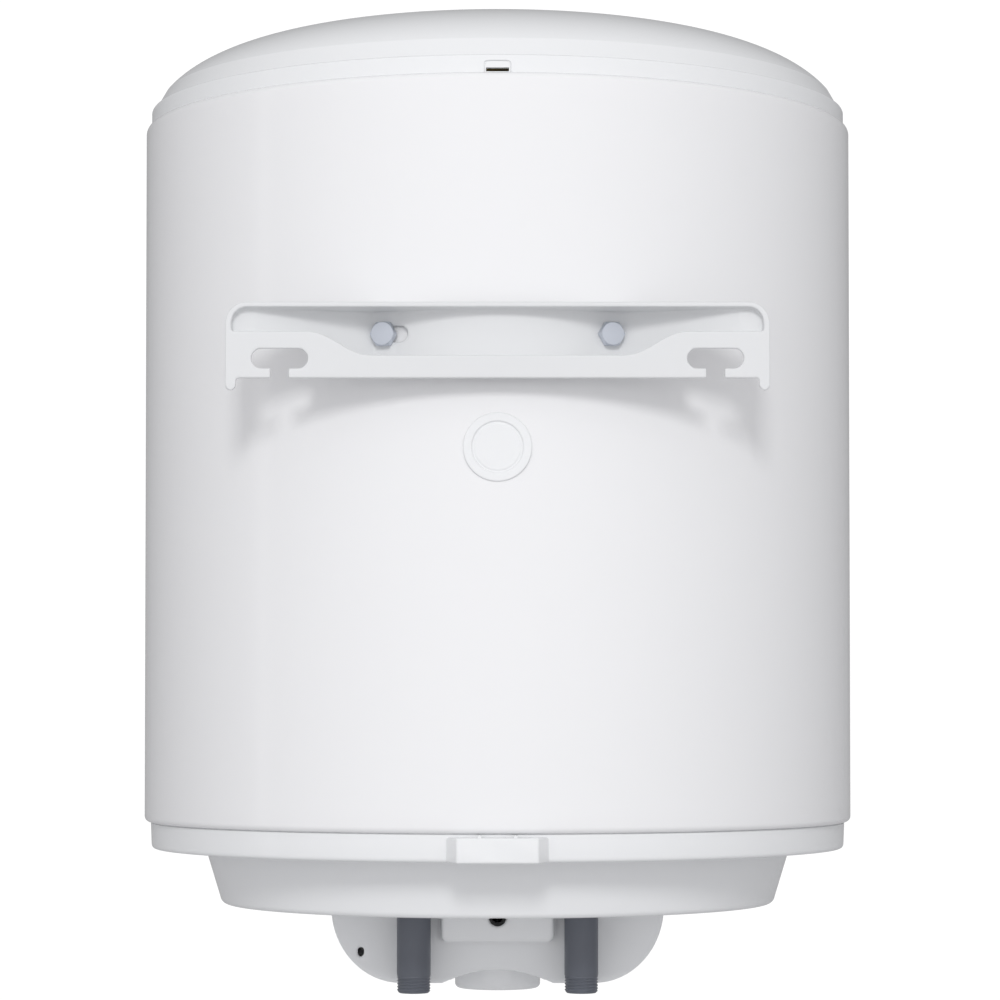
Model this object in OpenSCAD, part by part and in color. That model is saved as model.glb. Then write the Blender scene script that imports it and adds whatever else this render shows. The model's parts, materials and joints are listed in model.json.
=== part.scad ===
// Wall-hung electric storage water heater with a round casing.
// Origin: midway between the two bracket slots, on the wall plane. +Z is up, +Y points into the
// wall, and the controls hang under the tank. All lengths are in millimetres.

/* [Casing] */
// Outside diameter of the casing
casing_d = 433; // [360:1:530]
// Height of the casing sheet, between its lips
casing_h = 424; // [350:1:800]
// Thickness of the casing sheet
casing_t = 1; // [0.8:0.1:1.2]
// Radius of the rolled lips at the casing's two ends
lip_r = 3.5; // [3:0.1:5]
// Gap between the casing and the wall
wall_gap = 18; // [16:1:26]
// Height of the bracket slots above the casing's lower lip
slot_above_lip = 262; // [210:1:280]

/* [Caps] */
// Wall thickness of the moulded caps and the control cover
cap_t = 2.5; // [1.8:0.1:3]
// Height of the top cap's upright band
cap_band_h = 10; // [8:0.5:14]
// Height of the top cap's crease above the casing
crease_h = 21; // [18:0.5:28]
// Height of the top cap's crown above the casing
crown_h = 57.5; // [45:0.5:90]
// Height of the bottom cap's ring
ring_h = 16.2; // [14:0.2:24]
// Depth of the bowl's underside below the casing
bowl_depth = 50; // [40:1:70]
// Distance of the bowl's upper edge in from the casing's outside
bowl_inset = 37.2; // [30:0.1:44]
// Distance of the bowl's lower edge in from the casing's outside
floor_inset = 46.3; // [45:0.1:54]
// Radius of the opening in the bowl's floor for the flange
service_r = 64; // [60:0.5:66]

/* [Wall bracket] */
// Width of the bracket
bracket_w = 300; // [280:1:340]
// Distance between the centres of the two slots
slot_spacing = 240; // [200:1:244]
// Length of each slot
slot_l = 31; // [24:0.5:36]
// Width of each slot
slot_w = 11; // [8:0.5:12]
// Width of the entry below each slot
entry_w = 9.8; // [8:0.2:10]
// Thickness of the bracket's sheet
bracket_t = 3; // [2:0.1:4]
// Distance of each bracket bolt from the centre line
bolt_x = 62; // [50:1:72]
// Height of the bracket bolts above the slots
bolt_z = 15.8; // [15:0.1:18]
// Radius of the bracket bolts' thread
bolt_r = 4; // [3:0.5:4]

/* [Pipes] */
// Distance between the two pipes
pipe_spacing = 100; // [96:1:106]
// Distance of the pipes from the tank's axis, towards the wall
pipe_y = 65; // [62:0.5:70]
// Outside radius of the threads on the pipes
thread_r = 10.35; // [9:0.05:10.5]
// Radius of the pipes' bore
pipe_bore_r = 8; // [7:0.1:8.2]
// Length of pipe below the bowl
pipe_below = 50.5; // [40:0.5:80]
// Length of the thread on each pipe
thread_l = 10.5; // [9:0.5:16]
// Step in radius from the thread to the plain pipe
thread_step = 0.3; // [0.2:0.05:0.4]

/* [Tank] */
// Thickness of the foam around the tank
foam_t = 25.5; // [20:0.5:40]
// Thickness of the tank's steel
tank_t = 1.8; // [1.5:0.1:3]
// Depth of each dished tank end
dish_h = 50; // [44:1:54]
// Outside radius of the flange and its collar
flange_r = 57; // [55:0.5:58]
// Bore of the flange collar
collar_bore_r = 36; // [35:0.5:37]
// Radius of the circle of flange studs
stud_circle_r = 50; // [50:0.2:51]
// Radius of the flange studs
stud_r = 3; // [2:0.5:3]

/* [Controls] */
// Radius of the control cover's round front
cover_r = 100.5; // [98:0.5:110]
// Depth of the control cover below the bowl
cover_h = 46.6; // [44:0.2:54]
// Distance of the cover's flat back from the tank's axis
cover_back_y = 45; // [44:0.5:48]
// Width of the cable nose between the pipes
nose_w = 67.9; // [60:0.1:70]
// Height of the cable nose
nose_h = 20.5; // [19:0.5:24]
// Radius of the temperature knob
knob_r = 26.2; // [20:0.2:30]
// Height of the temperature knob
knob_h = 18.5; // [14:0.5:22]
// Radius of the thermostat's spindle
spindle_r = 3; // [2.5:0.1:3.5]
// Radius of the cable hole through the nose
cable_hole_r = 4.5; // [4:0.1:5.5]

/* [Hidden] */
$fn = 96;
e = 0.01;                                   // cutting overrun
slip = 0.05;                                // clearance of a shaft in its hole
seat = 0.2;                                 // clearance between covers and what they close on

// Main planes and radii
casing_r = casing_d / 2;
tank_y = -(wall_gap + casing_r);            // the tank's axis
lip_z = -slot_above_lip;                    // lower end of the casing
joint_z = lip_z + casing_h;                 // upper end of the casing
crown_z = joint_z + crown_h;
crease_z = joint_z + crease_h;
bowl_z = lip_z - bowl_depth;                // underside of the bowl
pipe_end_z = bowl_z - pipe_below;
pipe_r = thread_r + thread_step;
bowl_top_r = casing_r - bowl_inset;
bowl_floor_r = casing_r - floor_inset;

// Caps
lip_in_r = casing_r - lip_r - casing_t;     // opening inside a rolled lip
skirt_r = lip_in_r - seat;                  // skirts that push into the casing
skirt_h = 12;
band_r = casing_r - 3.3;
band_step = 2.2;
dome_base_z = joint_z - 20;                 // where the crown's curve would start
dome_base_r = casing_r + 1.6;
crown_sides = 3.43;                         // squareness of the crown, seen from above its edge
crown_top = 2.6;                            // flatness of the crown's top
tab_w = 14.6;                               // the snap tab above the back of the casing
tab_h = 6.4;
tab_proud = 0.6;
tab_slot_w = 12.8;
tab_slot_h = 2.2;
ring_r = casing_r - 3.8;
ring_corner = 3;
ring_gap = 0.6;
ring_taper = 0.6;
bowl_corner = 4.5;
pad_flat_w = 45.5;                          // the ring's boss at the back
pad_w = 65;
pad_reach = casing_r + 7.5;
pad_gap = 2;
pad_rib_w = 2;
pad_rib_x = 10;

// Tank
tank_r = casing_r - casing_t - foam_t;
tank_low_z = lip_z + 47;                    // lower edge of the tank's cylinder
tank_top_z = crown_z - foam_t - 2.5 - dish_h;
collar_top_z = tank_low_z - dish_h + 6;
collar_z = collar_top_z - 15;               // the face that the gasket seals on
gasket_t = 3;
gasket_r = 46;
plate_top_z = collar_z - gasket_t;
plate_t = 4;
plate_z = plate_top_z - plate_t;
stud_n = 5;
stud_l = 31;
stud_grip = 8;
nut_h = 5;
nut_af = 10;
foam_z = lip_z + 2;                         // underside of the foam

// Element, pocket and anode
element_r = 4;
element_bend = 8;
element_y = -16;
element_x = 3 * element_bend;
element_top_z = plate_top_z + 215;
element_low_z = plate_top_z + 35;
element_tail = 8;
pocket_y = 6;
pocket_r = 4.5;
pocket_bore_r = 3.7;
pocket_top_z = plate_top_z + 200;
probe_r = 3;
anode_y = 24;
anode_r = 10.4;
anode_core_r = 4;
anode_low_z = plate_top_z + 7;
anode_top_z = plate_top_z + 217;
anode_nut_h = 6.5;
anode_nut_af = 13;
diffuser_r = 13;
diffuser_z = tank_low_z - 34;
diffuser_h = 30;
draw_r = pipe_bore_r - slip;
draw_t = 0.8;

// Thermostat
stat_w = 35;
stat_front_y = -26;
stat_back_y = 13;
stat_top_z = plate_z - 3;
stat_h = 38;
stat_z = stat_top_z - stat_h;
button_r = 3;
button_x = 10;
button_y = -18;
button_travel = 2;
button_proud = 3.5;
button_l = 9.5;

// Control cover
cover_top_z = bowl_z - seat;
cover_z = bowl_z - cover_h;
cover_round = 42.2;                         // how far the cover's sides draw in at its underside
well_r = 55;                                // the dish that the knob sits in
well_floor_r = knob_r + 9.1;
well_h = 14;
well_z = cover_z + well_h;
knob_gap = 1.5;
knob_top_z = well_z - knob_gap;
knob_z = knob_top_z - knob_h;
spindle_top_z = stat_z + 12;
spindle_end_z = knob_top_z - 12;
nose_back_y = pipe_y + 1;
nose_corner = 4;
cable_z = bowl_z - 5.8;
cable_r = 3.2;
screw_circle_r = 84;
screw_angles = [10, 170, 270];
screw_head_r = 4;
screw_head_h = 3;
screw_r = 2;
pillar_r = 7.5;
screw_seat_z = bowl_z - 15.6;
boss_h = 16;
lamp_y = -64.6;
lamp_r = 3;
lamp_body_r = 4.5;
lamp_seat = cap_t + 1.8;                     // where its body rests, above the cover's underside
vent_x = 82.4;
vent_w = 3.4;
vent_h = 5.7;

// Bracket
bracket_top = 31.4;
bracket_low = -11;
leg_low = -17.6;
leg_w = 6;
corner_r = 12;
ledge_end_z = 15;
ledge_mid_z = 2;
ledge_end_x = 104;
ledge_mid_x = 70.7;
side_rim = 3.6;
web_mid_depth = 9.7;
web_end_depth = 6.5;
web_end_x = 134;
pad_half = 6.5;
bolt_a = asin(bolt_x / casing_r);
bolt_af = 13;
bolt_head_h = 5.3;
bolt_l = 22;
bolt_hole_r = 4.5;
bolt_slide = 9;
boss_r = 9;
boss_bore_h = 20;
plug_z = -47.5;
plug_r = 19.25;
plug_stem_r = 13.8;
plug_proud = 1.2;
plug_stem_l = 14;

// Colours
white_paint = [0.95, 0.95, 0.95];
white_plastic = [0.93, 0.93, 0.93];
steel = [0.62, 0.64, 0.67];
enamel = [0.18, 0.25, 0.42];
slate = [0.36, 0.37, 0.4];
copper = [0.76, 0.5, 0.36];

// ---- shared shapes ----

module on_axis() { translate([0, tank_y, 0]) children(); }

module lathe(points) { rotate_extrude() polygon(points); }

module tube(r, bore, low, high) {
    translate([0, 0, low]) difference() {
        cylinder(r = r, h = high - low);
        translate([0, 0, -1]) cylinder(r = bore, h = high - low + 2);
    }
}

module post(r, low, high) { translate([0, 0, low]) cylinder(r = r, h = high - low); }

// A hexagon prism with two flats facing up and down once its axis lies level
module hexagon(af, h) { cylinder(r = af / 2 / cos(30), h = h, $fn = 6); }

// A solid lying along +Y in place of +Z
module along_y() { rotate([-90, 0, 0]) children(); }

// Something extruded from an X-Z outline, from y = 0 towards the tank
module upright(depth) { rotate([90, 0, 0]) linear_extrude(depth) children(); }

// A point on a smooth curve that passes through four neighbours, between the second and the third
function between(a, b, c, d, t) =
    (2 * b + (c - a) * t + (2 * a - 5 * b + 4 * c - d) * t * t + (3 * b - a - 3 * c + d) * t * t * t) / 2;

function smooth(p, n) = let (last = len(p) - 1) concat(
    [for (i = [0 : last - 1]) for (k = [0 : n - 1])
        between(p[max(i - 1, 0)], p[i], p[i + 1], p[min(i + 2, last)], k / n)],
    [p[last]]);

// A round wire along a smooth curve through the points
module wire(points, r) {
    sides = 10;
    path = smooth(points, 6);
    last = len(path) - 1;
    rings = [for (i = [0 : last])
        let (d = path[min(i + 1, last)] - path[max(i - 1, 0)],
             u = cross(d, [0.31, 0.53, 0.79]) / norm(cross(d, [0.31, 0.53, 0.79])),
             v = cross(d, u) / norm(d))
        for (k = [0 : sides - 1]) path[i] + r * (cos(360 * k / sides) * u + sin(360 * k / sides) * v)];
    ends = [[for (k = [sides - 1 : -1 : 0]) k], [for (k = [0 : sides - 1]) last * sides + k]];
    skin = [for (i = [0 : last - 1]) for (k = [0 : sides - 1])
        let (a = i * sides + k, b = i * sides + (k + 1) % sides)
        each [[a, b, b + sides], [a, b + sides, a + sides]]];
    polyhedron(points = rings, faces = concat(ends, skin));
}

function arc(cx, cy, r, from, to, n = 6) =
    [for (i = [0 : n]) let (a = from + (to - from) * i / n) [cx + r * cos(a), cy + r * sin(a)]];

function reversed(list) = [for (i = [len(list) - 1 : -1 : 0]) list[i]];

function mirrored(list) = [for (i = [len(list) - 1 : -1 : 0]) [-list[i][0], list[i][1]]];

// ---- casing and caps ----

module at_bolt(side) {
    translate([0, tank_y, bolt_z]) rotate([0, 0, -side * bolt_a]) children();
}

module outer_casing() {
    outer = concat([[lip_in_r, lip_z]], arc(casing_r - lip_r, lip_z + lip_r, lip_r, -90, 0),
                   arc(casing_r - lip_r, joint_z - lip_r, lip_r, 0, 90), [[lip_in_r, joint_z]]);
    fold = lip_r - casing_t;
    inner = concat([[lip_in_r, joint_z - casing_t]],
                   arc(casing_r - lip_r, joint_z - lip_r, fold, 90, 0),
                   arc(casing_r - lip_r, lip_z + lip_r, fold, 0, -90),
                   [[lip_in_r, lip_z + casing_t]]);
    color(white_paint) difference() {
        on_axis() lathe(concat(outer, inner));
        translate([0, -wall_gap - 20, plug_z]) along_y() cylinder(r = plug_stem_r + seat, h = 30);
        for (side = [-1, 1]) at_bolt(side) along_y() cylinder(r = bolt_hole_r, h = casing_r + 5);
    }
}

// The crown's section: a squared ellipse from the crease to the top, drawn in by inset
function crown(inset) = let (
        h = crown_z - dome_base_z - inset,
        a0 = acos(pow((crease_z - dome_base_z - inset) / h, crown_top / 2)))
    [for (i = [0 : 24]) let (a = a0 * (1 - i / 24))
        [(dome_base_r - inset) * pow(sin(a), 2 / crown_sides), dome_base_z + h * pow(cos(a), 2 / crown_top)]];

module top_cap() {
    foot_r = skirt_r - cap_t;
    color(white_plastic) difference() {
        union() {
            on_axis() lathe(concat(
                [[skirt_r, joint_z - skirt_h], [skirt_r, joint_z + e], [band_r, joint_z + e],
                 [band_r, joint_z + cap_band_h], [band_r - band_step, joint_z + cap_band_h + 0.6]],
                crown(0), reversed(crown(cap_t)),
                [[foot_r, joint_z + cap_band_h - cap_t], [foot_r, joint_z - skirt_h]]));
            translate([-tab_w / 2, tank_y + band_r - 1, joint_z + tab_slot_h])
                cube([tab_w, 1 + tab_proud, tab_h - tab_slot_h]);
        }
        translate([-tab_slot_w / 2, tank_y + foot_r - 2, joint_z + 0.5])
            cube([tab_slot_w, 10, tab_slot_h]);
    }
}

module bottom_cap() {
    ring_z = lip_z - ring_h;
    outer = concat(
        [[skirt_r, lip_z + skirt_h], [skirt_r, lip_z - ring_gap], [ring_r, lip_z - ring_gap]],
        arc(ring_r - ring_taper - ring_corner, ring_z + ring_corner, ring_corner, 0, -90),
        [[bowl_top_r, ring_z]],
        arc(bowl_floor_r - bowl_corner, bowl_z + bowl_corner, bowl_corner, -10, -90),
        [[service_r, bowl_z]]);
    inner = [[service_r, bowl_z + cap_t], [bowl_floor_r - cap_t - 1, bowl_z + cap_t],
             [bowl_top_r - cap_t, ring_z + cap_t], [skirt_r - cap_t, ring_z + cap_t],
             [skirt_r - cap_t, lip_z + skirt_h]];
    color(white_plastic) on_axis() {
        difference() {
            union() {
                lathe(concat(outer, inner));
                back_pad(ring_z);
                for (a = screw_angles) rotate([0, 0, a]) translate([screw_circle_r, 0, bowl_z + cap_t - e])
                    cylinder(r = 5, h = boss_h);
            }
            for (side = [-1, 1]) translate([side * pipe_spacing / 2, pipe_y, bowl_z - 1])
                cylinder(r = pipe_r + 2, h = 10);
            for (a = screw_angles) rotate([0, 0, a]) translate([screw_circle_r, 0, bowl_z - 1])
                cylinder(r = screw_r + slip, h = boss_h + cap_t);
            translate([0, bowl_floor_r - bowl_corner - 2, bowl_z]) along_y() cylinder(r = 1.5, h = 12);
        }
    }
}

// The boss on the ring that faces the wall, with two ribs that reach the casing
module back_pad(ring_z) {
    difference() {
        union() {
            translate([0, 0, ring_z]) linear_extrude(lip_z - pad_gap - ring_z) polygon([
                [-pad_w / 2, ring_r - 12], [-pad_flat_w / 2, pad_reach], [pad_flat_w / 2, pad_reach],
                [pad_w / 2, ring_r - 12]]);
            for (side = [-1, 1]) translate([side * pad_rib_x - pad_rib_w / 2, ring_r, lip_z - pad_gap - 1])
                cube([pad_rib_w, pad_reach - ring_r - 1, pad_gap + 1 - ring_gap]);
        }
        post(ring_r - cap_t, ring_z - 1, lip_z);
    }
}

module foam_plug() {
    color(white_plastic) difference() {
        translate([0, -wall_gap - 5, plug_z]) along_y() cylinder(r = plug_r, h = 5 + plug_proud);
        on_axis() post(casing_r, lip_z, joint_z);
        translate([0, -wall_gap + plug_proud - 0.8, plug_z]) along_y() cylinder(r = plug_stem_r, h = 2);
    }
    color(white_plastic) translate([0, -wall_gap - plug_stem_l, plug_z]) along_y()
        cylinder(r = plug_stem_r, h = plug_stem_l + plug_proud - 0.8);
}

// ---- tank and foam ----

function dish(r, h) = [for (i = [0 : 20]) let (a = 90 * i / 20) [r * cos(a), h * sin(a)]];

function shifted(list, z, side) = [for (p = list) [p[0], z + side * p[1]]];

// The tank's outside as one solid, larger all round by grow
module tank_solid(grow) {
    end = dish(tank_r + grow, dish_h + grow);
    post(tank_r + grow, tank_low_z, tank_top_z);
    lathe(concat([[0, tank_top_z - e]], shifted(end, tank_top_z - e, 1)));
    lathe(concat([[0, tank_low_z + e]], shifted(end, tank_low_z + e, -1)));
}

module dished_end(z, side) {
    lathe(concat(shifted(dish(tank_r, dish_h), z, side),
                 reversed(shifted(dish(tank_r - tank_t, dish_h - tank_t), z, side))));
}

module tank_shell() {
    color(enamel) on_axis() tube(tank_r, tank_r - tank_t, tank_low_z, tank_top_z);
}

module tank_top_dome() { color(enamel) on_axis() dished_end(tank_top_z, 1); }

module tank_bottom_dome() {
    color(enamel) on_axis() difference() {
        dished_end(tank_low_z, -1);
        post(flange_r + slip, tank_low_z - dish_h - 5, tank_low_z);
        at_pipes() post(pipe_r + slip, tank_low_z - dish_h - 5, tank_low_z);
    }
}

module at_pipes() {
    for (side = [-1, 1]) translate([side * pipe_spacing / 2, pipe_y, 0]) children();
}

module bracket_bosses() {
    color(steel) for (side = [-1, 1]) difference() {
        at_bolt(side) along_y() cylinder(r = boss_r, h = casing_r - casing_t);
        on_axis() tank_solid(0);
        at_bolt(side) translate([0, casing_r - casing_t - boss_bore_h, 0]) along_y()
            cylinder(r = bolt_r + slip, h = boss_bore_h + 5);
        on_axis() difference() {
            post(casing_r + 5, bolt_z - 20, bolt_z + 20);
            post(casing_r - casing_t, bolt_z - 21, bolt_z + 21);
        }
    }
}

module insulation_foam() {
    body_r = casing_r - casing_t - 0.1;
    neck_r = skirt_r - cap_t - 0.1;
    skirt_room = skirt_h + 0.5;
    color([0.93, 0.86, 0.62]) difference() {
        on_axis() lathe(concat(
            [[0, foam_z], [neck_r, foam_z], [neck_r, lip_z + skirt_room], [body_r, lip_z + skirt_room],
             [body_r, joint_z - skirt_room], [neck_r, joint_z - skirt_room],
             [neck_r, joint_z + cap_band_h - cap_t - 1]],
            crown(cap_t + 0.6)));
        on_axis() tank_solid(0.2);
        on_axis() post(flange_r + slip, foam_z - 1, tank_low_z);
        on_axis() at_pipes() post(pipe_r + slip, foam_z - 1, tank_low_z);
        for (side = [-1, 1]) at_bolt(side) along_y() cylinder(r = boss_r, h = casing_r);
        translate([0, -wall_gap - plug_stem_l - 1, plug_z]) along_y()
            cylinder(r = plug_stem_r + seat, h = plug_stem_l + 5);
        translate([-tab_slot_w / 2 - 1, tank_y + neck_r - 20, joint_z - 1])
            cube([tab_slot_w + 2, 30, tab_slot_h + 3]);
    }
}

// ---- pipes ----

module pipe(side, top_z) {
    color(slate) on_axis() translate([side * pipe_spacing / 2, pipe_y, 0])
        difference() {
            union() {
                post(thread_r, pipe_end_z, pipe_end_z + thread_l);
                post(pipe_r, pipe_end_z + thread_l - e, top_z);
            }
            post(pipe_bore_r, pipe_end_z - 1, top_z + 1);
        }
}

module cold_inlet_pipe() { pipe(1, diffuser_z + diffuser_h - 6); }

module hot_outlet_pipe() { pipe(-1, diffuser_z + 8); }

module hot_draw_tube() {
    color("white") on_axis() translate([-pipe_spacing / 2, pipe_y, 0])
        tube(draw_r, draw_r - draw_t, diffuser_z - 14, tank_top_z + 20);
}

// A cap on the cold pipe with four windows, so the water leaves sideways
module cold_diffuser() {
    color("white") on_axis() translate([pipe_spacing / 2, pipe_y, diffuser_z]) difference() {
        cylinder(r = diffuser_r, h = diffuser_h + 2);
        translate([0, 0, -1]) cylinder(r = pipe_r + slip, h = diffuser_h + 1);
        for (a = [0, 90]) rotate([0, 0, a + 45]) translate([-20, -4, diffuser_h - 5]) cube([40, 8, 4]);
    }
}

// ---- flange ----

module at_studs() {
    for (i = [0 : stud_n - 1]) rotate([0, 0, 90 + 360 * i / stud_n]) translate([stud_circle_r, 0, 0])
        children();
}

module flange_collar() {
    color(steel) on_axis() difference() {
        tube(flange_r, collar_bore_r, collar_z, collar_top_z);
        at_studs() post(stud_r, collar_z - 1, collar_z + stud_grip);
    }
}

module flange_studs() {
    color(steel) on_axis() at_studs() post(stud_r, collar_z + stud_grip - stud_l, collar_z + stud_grip);
}

module flange_gasket() {
    color([0.12, 0.12, 0.12]) on_axis() tube(gasket_r, collar_bore_r, plate_top_z, collar_z);
}

module flange_plate() {
    color(steel) on_axis() difference() {
        post(flange_r, plate_z, plate_top_z);
        at_studs() post(stud_r + 0.3, plate_z - 1, plate_top_z + 1);
        for (side = [-1, 1]) translate([side * element_x, element_y, 0])
            post(element_r, plate_z - 1, plate_top_z + 1);
        translate([0, pocket_y, 0]) post(pocket_r, plate_z - 1, plate_top_z + 1);
        translate([0, anode_y, 0]) post(anode_core_r, plate_z - 1, plate_top_z + 1);
        translate(earth_at) post(1.5, plate_z - 1, plate_top_z + 1);
    }
}

module flange_nuts() {
    color(steel) on_axis() at_studs() translate([0, 0, plate_z - nut_h]) difference() {
        hexagon(nut_af, nut_h);
        translate([0, 0, -1]) cylinder(r = stud_r + slip, h = nut_h + 2);
    }
}

// Four upright legs joined by three half-round bends
module heating_element() {
    color(copper) on_axis() translate([0, element_y, 0]) {
        for (side = [-1, 1]) {
            translate([side * element_x, 0, 0]) post(element_r, plate_z - element_tail, element_top_z);
            translate([side * element_bend, 0, 0]) post(element_r, element_low_z, element_top_z);
            translate([side * 2 * element_bend, 0, element_top_z]) element_turn(1);
        }
        translate([0, 0, element_low_z]) element_turn(-1);
    }
}

module element_turn(up) {
    intersection() {
        rotate([90, 0, 0]) rotate_extrude() translate([element_bend, 0]) circle(r = element_r);
        translate([-20, -20, up > 0 ? -e : -40 + e]) cube(40);
    }
}

module element_terminals() {
    blade_z = plate_z - element_tail;
    color(steel) on_axis() for (side = [-1, 1]) translate([side * element_x, element_y, 0]) {
        post(1.5, blade_z - 3, blade_z);
        translate([-0.4, -3.15, blade_z - 12]) cube([0.8, 6.3, 9 + e]);
    }
}

module thermostat_pocket() {
    color(steel) on_axis() translate([0, pocket_y, 0]) difference() {
        post(pocket_r, plate_z, pocket_top_z);
        post(pocket_bore_r, plate_z - 1, pocket_top_z - 1);
    }
}

module thermostat_rod() {
    color(copper) on_axis() translate([0, pocket_y, 0]) post(probe_r, stat_top_z, pocket_top_z - 6);
}

module anode_rod() {
    color([0.75, 0.76, 0.77]) on_axis() translate([0, anode_y, 0]) {
        post(anode_core_r, plate_z - anode_nut_h - 4, anode_low_z + e);
        post(anode_r, anode_low_z, anode_top_z);
    }
}

module anode_nut() {
    color(steel) on_axis() translate([0, anode_y, plate_z - anode_nut_h]) difference() {
        hexagon(anode_nut_af, anode_nut_h);
        translate([0, 0, -1]) cylinder(r = anode_core_r + slip, h = anode_nut_h + 2);
    }
}

// ---- thermostat and wiring ----

earth_at = [-28, 27, 0];
block_at = [-80, -12, bowl_z - 7.5];
block_size = [16, 34, 14];
block_pitch = 11;
wire_r = 1.2;

module thermostat_body() {
    color([0.9, 0.88, 0.8]) on_axis() difference() {
        translate([-stat_w / 2, stat_front_y, stat_z]) cube([stat_w, stat_back_y - stat_front_y, stat_h]);
        post(spindle_r + slip, stat_z - 1, spindle_top_z + 1);
        translate([button_x, button_y, 0])
            post(button_r + slip, stat_z - 1, stat_z - button_proud + button_l + button_travel + 1);
    }
}

module terminal_block() {
    color([0.85, 0.85, 0.82]) on_axis() translate(block_at) difference() {
        translate(-block_size / 2) cube(block_size);
        for (i = [-1 : 1]) translate([0, i * block_pitch, 0]) {
            translate([0, 0, -block_size[2]]) cylinder(r = 2, h = block_size[2]);
            translate([-block_size[0], 0, 0]) rotate([0, 90, 0]) cylinder(r = 1.8, h = 2 * block_size[0]);
        }
    }
}

module terminal_screws() {
    color(steel) on_axis() for (i = [-1 : 1])
        translate(block_at + [0, i * block_pitch, -block_size[2] / 2 + 1]) cylinder(r = 1.9, h = 3.5);
}

// The last points of a wire that meets the thermostat's front face squarely
function into_stat(x, z) = [for (gap = [7, 3.5, 0.1]) [x, stat_front_y - gap, z]];

module cased_wire(i, points, tint) {
    start = block_at + [block_size[0] / 2 - 4, i * block_pitch, 0];
    color(tint) on_axis() wire(concat([for (x = [0, 4, 8, 12]) start + [x, 0, 0]], points), wire_r);
}

module line_wire() {
    cased_wire(-1, concat([[-46, -42, bowl_z - 2], [-14, -42, stat_z + 27]], into_stat(-8, stat_z + 28)),
               [0.45, 0.26, 0.14]);
}

module neutral_wire() {
    cased_wire(0, concat([[-44, -38, bowl_z - 8], [-15, -42, stat_z + 11]], into_stat(-8, stat_z + 12)),
               [0.12, 0.3, 0.75]);
}

module earth_wire() {
    cased_wire(1, [[-46, 16, bowl_z - 3], [-30, 27, bowl_z + 8],
                   [earth_at[0], earth_at[1], plate_z - 4.2]], [0.35, 0.62, 0.16]);
}

module earth_screw() {
    color(steel) on_axis() translate(earth_at) {
        post(1.5, plate_z - 2, plate_z + 3);
        post(4, plate_z - 3, plate_z - e);
    }
}

// Short leads from the thermostat's sides to the element's blades
module element_leads() {
    blade_x = element_x - 0.5;
    low = plate_z - element_tail - 12.1;
    color([0.9, 0.9, 0.9]) on_axis() for (side = [-1, 1])
        wire(concat([for (gap = [0.1, 2.1, 4.1]) [side * (stat_w / 2 + gap), -8, stat_z + 6]],
                    [for (gap = [6, 3, 0]) [side * blade_x, element_y, low - gap]]), wire_r);
}

module lamp_wires() {
    color([0.9, 0.9, 0.9]) on_axis() for (side = [-1, 1])
        wire(concat([for (rise = [17.1, 20, 23]) [side * 2, lamp_y, cover_z + rise]],
                    into_stat(side * 4 + 4, stat_z + 8)), 0.9);
}

// ---- control cover ----

// The cover's side, from its top edge to its underside: a quarter of an ellipse
function cover_side(inset) = [for (i = [0 : 16]) let (a = 90 * i / 16)
    [cover_r - inset - (cover_round - inset) * (1 - cos(a)),
     cover_top_z - (cover_top_z - cover_z - inset) * sin(a)]];

// Round towards the room, with straight sides that run back to a flat
module cover_form(inset) {
    side = cover_side(inset);
    intersection() {
        lathe(concat([[0, cover_top_z]], side, [[0, cover_z + inset]]));
        translate([-cover_r - 1, -cover_r - 1, cover_z - 1])
            cube([2 * cover_r + 2, cover_r + 1 + e, cover_h + 2]);
    }
    translate([0, cover_back_y - inset, 0]) upright(cover_back_y - inset)
        polygon(concat(side, mirrored(side)));
}

module dial_dish(grow) {
    run = (well_r - well_floor_r) / well_h;
    out = grow * sqrt(1 + run * run);
    lathe([[0, cover_z - 1], [well_r + out + run, cover_z - 1],
           [well_floor_r + out - grow * run, well_z + grow], [0, well_z + grow]]);
}

module nose(inset) {
    w = nose_w - 2 * inset;
    c = nose_corner - inset;
    low = bowl_z - nose_h + inset;
    translate([0, nose_back_y - inset, 0]) upright(nose_back_y - inset - 30) {
        translate([-w / 2, low + c]) square([w, cover_top_z - low - c]);
        translate([-w / 2 + c, low]) square([w - 2 * c, c + e]);
        for (side = [-1, 1]) translate([side * (w / 2 - c), low + c]) circle(r = c);
    }
}

module control_cover() {
    color(white_plastic) on_axis() difference() {
        union() {
            difference() {
                union() {
                    cover_form(0);
                    nose(0);
                }
                difference() {
                    union() {
                        cover_form(cap_t);
                        translate([0, 0, 1]) intersection() {
                            cover_form(cap_t);
                            post(cover_r, cover_top_z - 1, cover_top_z);
                        }
                    }
                    dial_dish(cap_t);
                }
                nose(cap_t);
                translate([-nose_w / 2 + cap_t, 30, cover_top_z - 2])
                    cube([nose_w - 2 * cap_t, nose_back_y - 30 - cap_t, 4]);
            }
            intersection() {
                cover_form(0);
                at_cover_screws() post(pillar_r, cover_z - 1, cover_top_z);
            }
            at_clamp_screws() post(3.5, bowl_z - nose_h + cap_t - e, cable_z + cable_r - 0.4);
        }
        dial_dish(0);
        at_cover_screws() {
            post(screw_head_r + 1, cover_z - 1, screw_seat_z);
            post(screw_r + 0.3, cover_z - 1, cover_top_z + 1);
        }
        at_clamp_screws() post(1.5, bowl_z - nose_h + cap_t + 1, cover_top_z);
        post(spindle_r + 2, cover_z, cover_top_z);
        translate([0, lamp_y, 0]) post(lamp_r + 0.1, cover_z - 1, cover_z + lamp_seat + 1);
        translate([0, nose_back_y - 10, cable_z]) along_y() cylinder(r = cable_hole_r, h = 20);
        translate([vent_x - vent_w / 2, cover_back_y - 5, cover_z + 19 - vent_h / 2])
            cube([vent_w, 10, vent_h]);
    }
}

module at_cover_screws() {
    for (a = screw_angles) rotate([0, 0, a]) translate([screw_circle_r, 0, 0]) children();
}

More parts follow.
